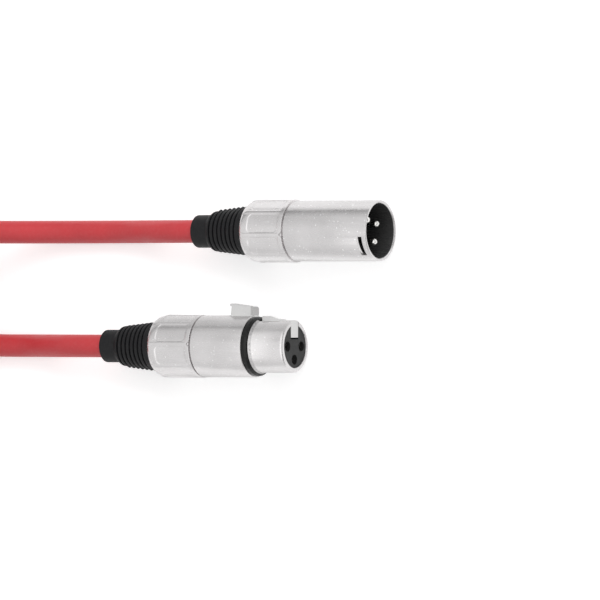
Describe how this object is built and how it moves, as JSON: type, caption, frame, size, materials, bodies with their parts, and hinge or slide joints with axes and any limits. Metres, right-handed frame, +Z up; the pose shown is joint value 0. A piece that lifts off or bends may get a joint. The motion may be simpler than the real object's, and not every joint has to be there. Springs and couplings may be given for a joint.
{
  "type": "xlr cable coil",
  "caption": "Microphone cable: a locking female plug and a male plug side by side, joined by a red cord wound into a strapped coil.",
  "frame": {"origin": "bottom centre of the box of the two plugs, cord left out", "axes": "+X the way both plugs' mating ends point, +Y from the female plug to the male plug, +Z up from the surface they lie on"},
  "size_m": [0.2353, 0.0848, 0.0331],
  "materials": {
    "nickel_shell": "satin nickel plate on die-cast zinc",
    "latch_nickel": "satin nickel plate, worn a little on the teeth",
    "contact_plating": "bright silver plate",
    "black_insert": "moulded, fine grain",
    "boot_rubber": "matt moulded",
    "gasket_rubber": "smooth",
    "spring_steel": "drawn",
    "chuck_nylon": "moulded",
    "wire_jacket": "smooth",
    "red_jacket": "soft matt jacket",
    "strap_fabric": "woven hook and loop"
  },
  "bodies": {
    "cable": {"male_shell": "nickel_shell", "male_insert": "black_insert", "male_contact_1": "contact_plating", "male_contact_2": "contact_plating", "male_contact_3": "contact_plating", "male_chuck": "chuck_nylon", "male_collar": "nickel_shell", "male_boot": "boot_rubber", "male_cable_end": "red_jacket", "male_wires": "wire_jacket", "female_shell": "nickel_shell", "female_gasket": "gasket_rubber", "female_insert": "black_insert", "female_contact_1": "contact_plating", "female_contact_2": "contact_plating", "female_contact_3": "contact_plating", "latch_pin": "spring_steel", "latch_spring": "spring_steel", "female_chuck": "chuck_nylon", "female_collar": "nickel_shell", "female_boot": "boot_rubber", "female_cable_end": "red_jacket", "female_wires": "wire_jacket", "female_lead": "red_jacket", "cord_coil": "red_jacket", "male_lead": "red_jacket", "coil_strap": "strap_fabric"},
    "latch": {"latch_lever": "latch_nickel"}
  },
  "joints": [
    {"name": "latch_press", "type": "hinge", "parent": "cable", "child": "latch", "pos_m": [0.0168, -0.0129, 0.0096], "axis": [0, 0, 1], "range_deg": [0, 7.2], "stiffness_Nm_per_rad": 0.6, "springref_deg": -5.73, "deforming": ["latch_spring"]}
  ]
}
